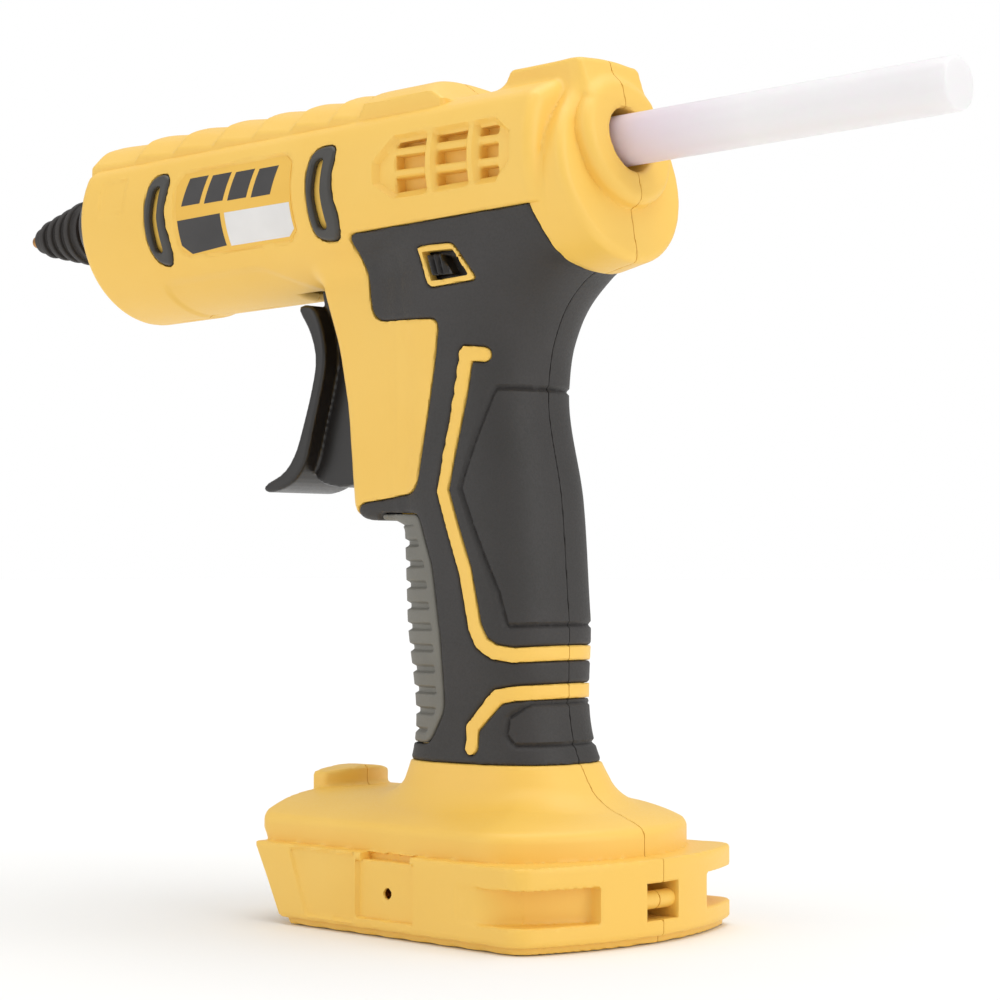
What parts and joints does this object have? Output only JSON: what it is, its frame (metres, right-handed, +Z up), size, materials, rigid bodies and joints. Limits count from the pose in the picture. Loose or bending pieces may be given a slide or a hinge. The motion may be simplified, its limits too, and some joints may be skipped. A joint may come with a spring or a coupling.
{
  "type": "glue gun",
  "caption": "Cordless hot-melt glue gun: pistol body on a flat slide-on battery foot, with a finger trigger, finned nozzle, vented barrel and a glue stick fed in from the rear.",
  "frame": {"origin": "on the surface the foot stands on, under the middle of the whole length and width", "axes": "+X towards the rear, where the glue stick goes in, -X towards the nozzle, +Y towards the tool's right, +Z up"},
  "size_m": [0.2841, 0.0746, 0.1917],
  "materials": {
    "yellow_housing": "moulded satin with a fine texture",
    "soft_grip": "matt soft-touch overmould",
    "finger_pad": "matt ribbed overmould",
    "black_plastic": "moulded satin",
    "bumper_rubber": "satin",
    "label_film": "printed film",
    "glue": "translucent hot-melt",
    "brass": "turned",
    "aluminium": "die-cast and drawn",
    "steel": "zinc plated",
    "board": "solder-masked laminate",
    "white_plastic": "moulded",
    "ceramic": "matt ceramic",
    "lens": "clear",
    "silicone": "matt"
  },
  "bodies": {
    "shell": {"housing_left": "yellow_housing", "grip_left": "soft_grip", "finger_pad_left": "finger_pad", "bumper_front_left": "bumper_rubber", "bumper_rear_left": "bumper_rubber", "decal_left": "label_film", "hook_insert_left": "brass", "battery_lead_left": "silicone", "heater_lead_left": "silicone", "housing_right": "yellow_housing", "grip_right": "soft_grip", "finger_pad_right": "finger_pad", "bumper_front_right": "bumper_rubber", "bumper_rear_right": "bumper_rubber", "decal_right": "label_film", "hook_insert_right": "brass", "battery_lead_right": "silicone", "heater_lead_right": "silicone", "housing_screw_1": "steel", "housing_screw_2": "steel", "housing_screw_3": "steel", "housing_screw_4": "steel", "housing_screw_5": "steel", "housing_screw_6": "steel", "housing_screw_7": "steel", "housing_screw_8": "steel", "trigger_pin": "steel", "guide_tube": "aluminium", "melt_chamber": "aluminium", "heater_plate": "ceramic", "thermal_cutout": "black_plastic", "heat_shield": "steel", "inlet_seal": "silicone", "front_collar": "black_plastic", "nozzle": "brass", "nozzle_boot": "black_plastic", "switch_body": "black_plastic", "control_board": "board", "board_heat_sink": "aluminium", "lamp_lens": "lens", "terminal_block": "black_plastic", "terminal_blade_1": "brass", "terminal_blade_2": "brass", "terminal_blade_3": "brass", "terminal_blade_4": "brass"},
    "trigger_body": {"trigger": "black_plastic"},
    "feed_body": {"feed_carriage": "white_plastic"},
    "claw_body": {"feed_claw": "steel"},
    "stick_body": {"glue_stick": "glue"},
    "slider_body": {"power_slider": "black_plastic"}
  },
  "joints": [
    {"name": "trigger_pull", "type": "hinge", "parent": "shell", "child": "trigger_body", "pos_m": [-0.02553, 0, 0.151], "axis": [0, -1, 0], "range_deg": [0, 15], "stiffness_Nm_per_rad": 0.08, "springref_deg": -17.19},
    {"name": "feed_slide", "type": "slide", "parent": "shell", "child": "feed_body", "axis": [-0.9995, 0, -0.0314], "range_m": [0, 0.0054]},
    {"name": "claw_bite", "type": "hinge", "parent": "feed_body", "child": "claw_body", "pos_m": [-0.0238, 0, 0.18178], "axis": [0, -1, 0], "range_deg": [0, 6]},
    {"name": "stick_slide", "type": "slide", "parent": "shell", "child": "stick_body", "axis": [0.9995, 0, 0.0314], "range_m": [-0.012, 0.15]},
    {"name": "power_slide", "type": "slide", "parent": "shell", "child": "slider_body", "axis": [1, 0, 0], "range_m": [0, 0.003]}
  ],
  "couplings": [
    {"joint": "feed_slide", "follows": "trigger_pull", "m_per_rad": 0.0199},
    {"joint": "claw_bite", "follows": "trigger_pull", "ratio": 0.4}
  ]
}
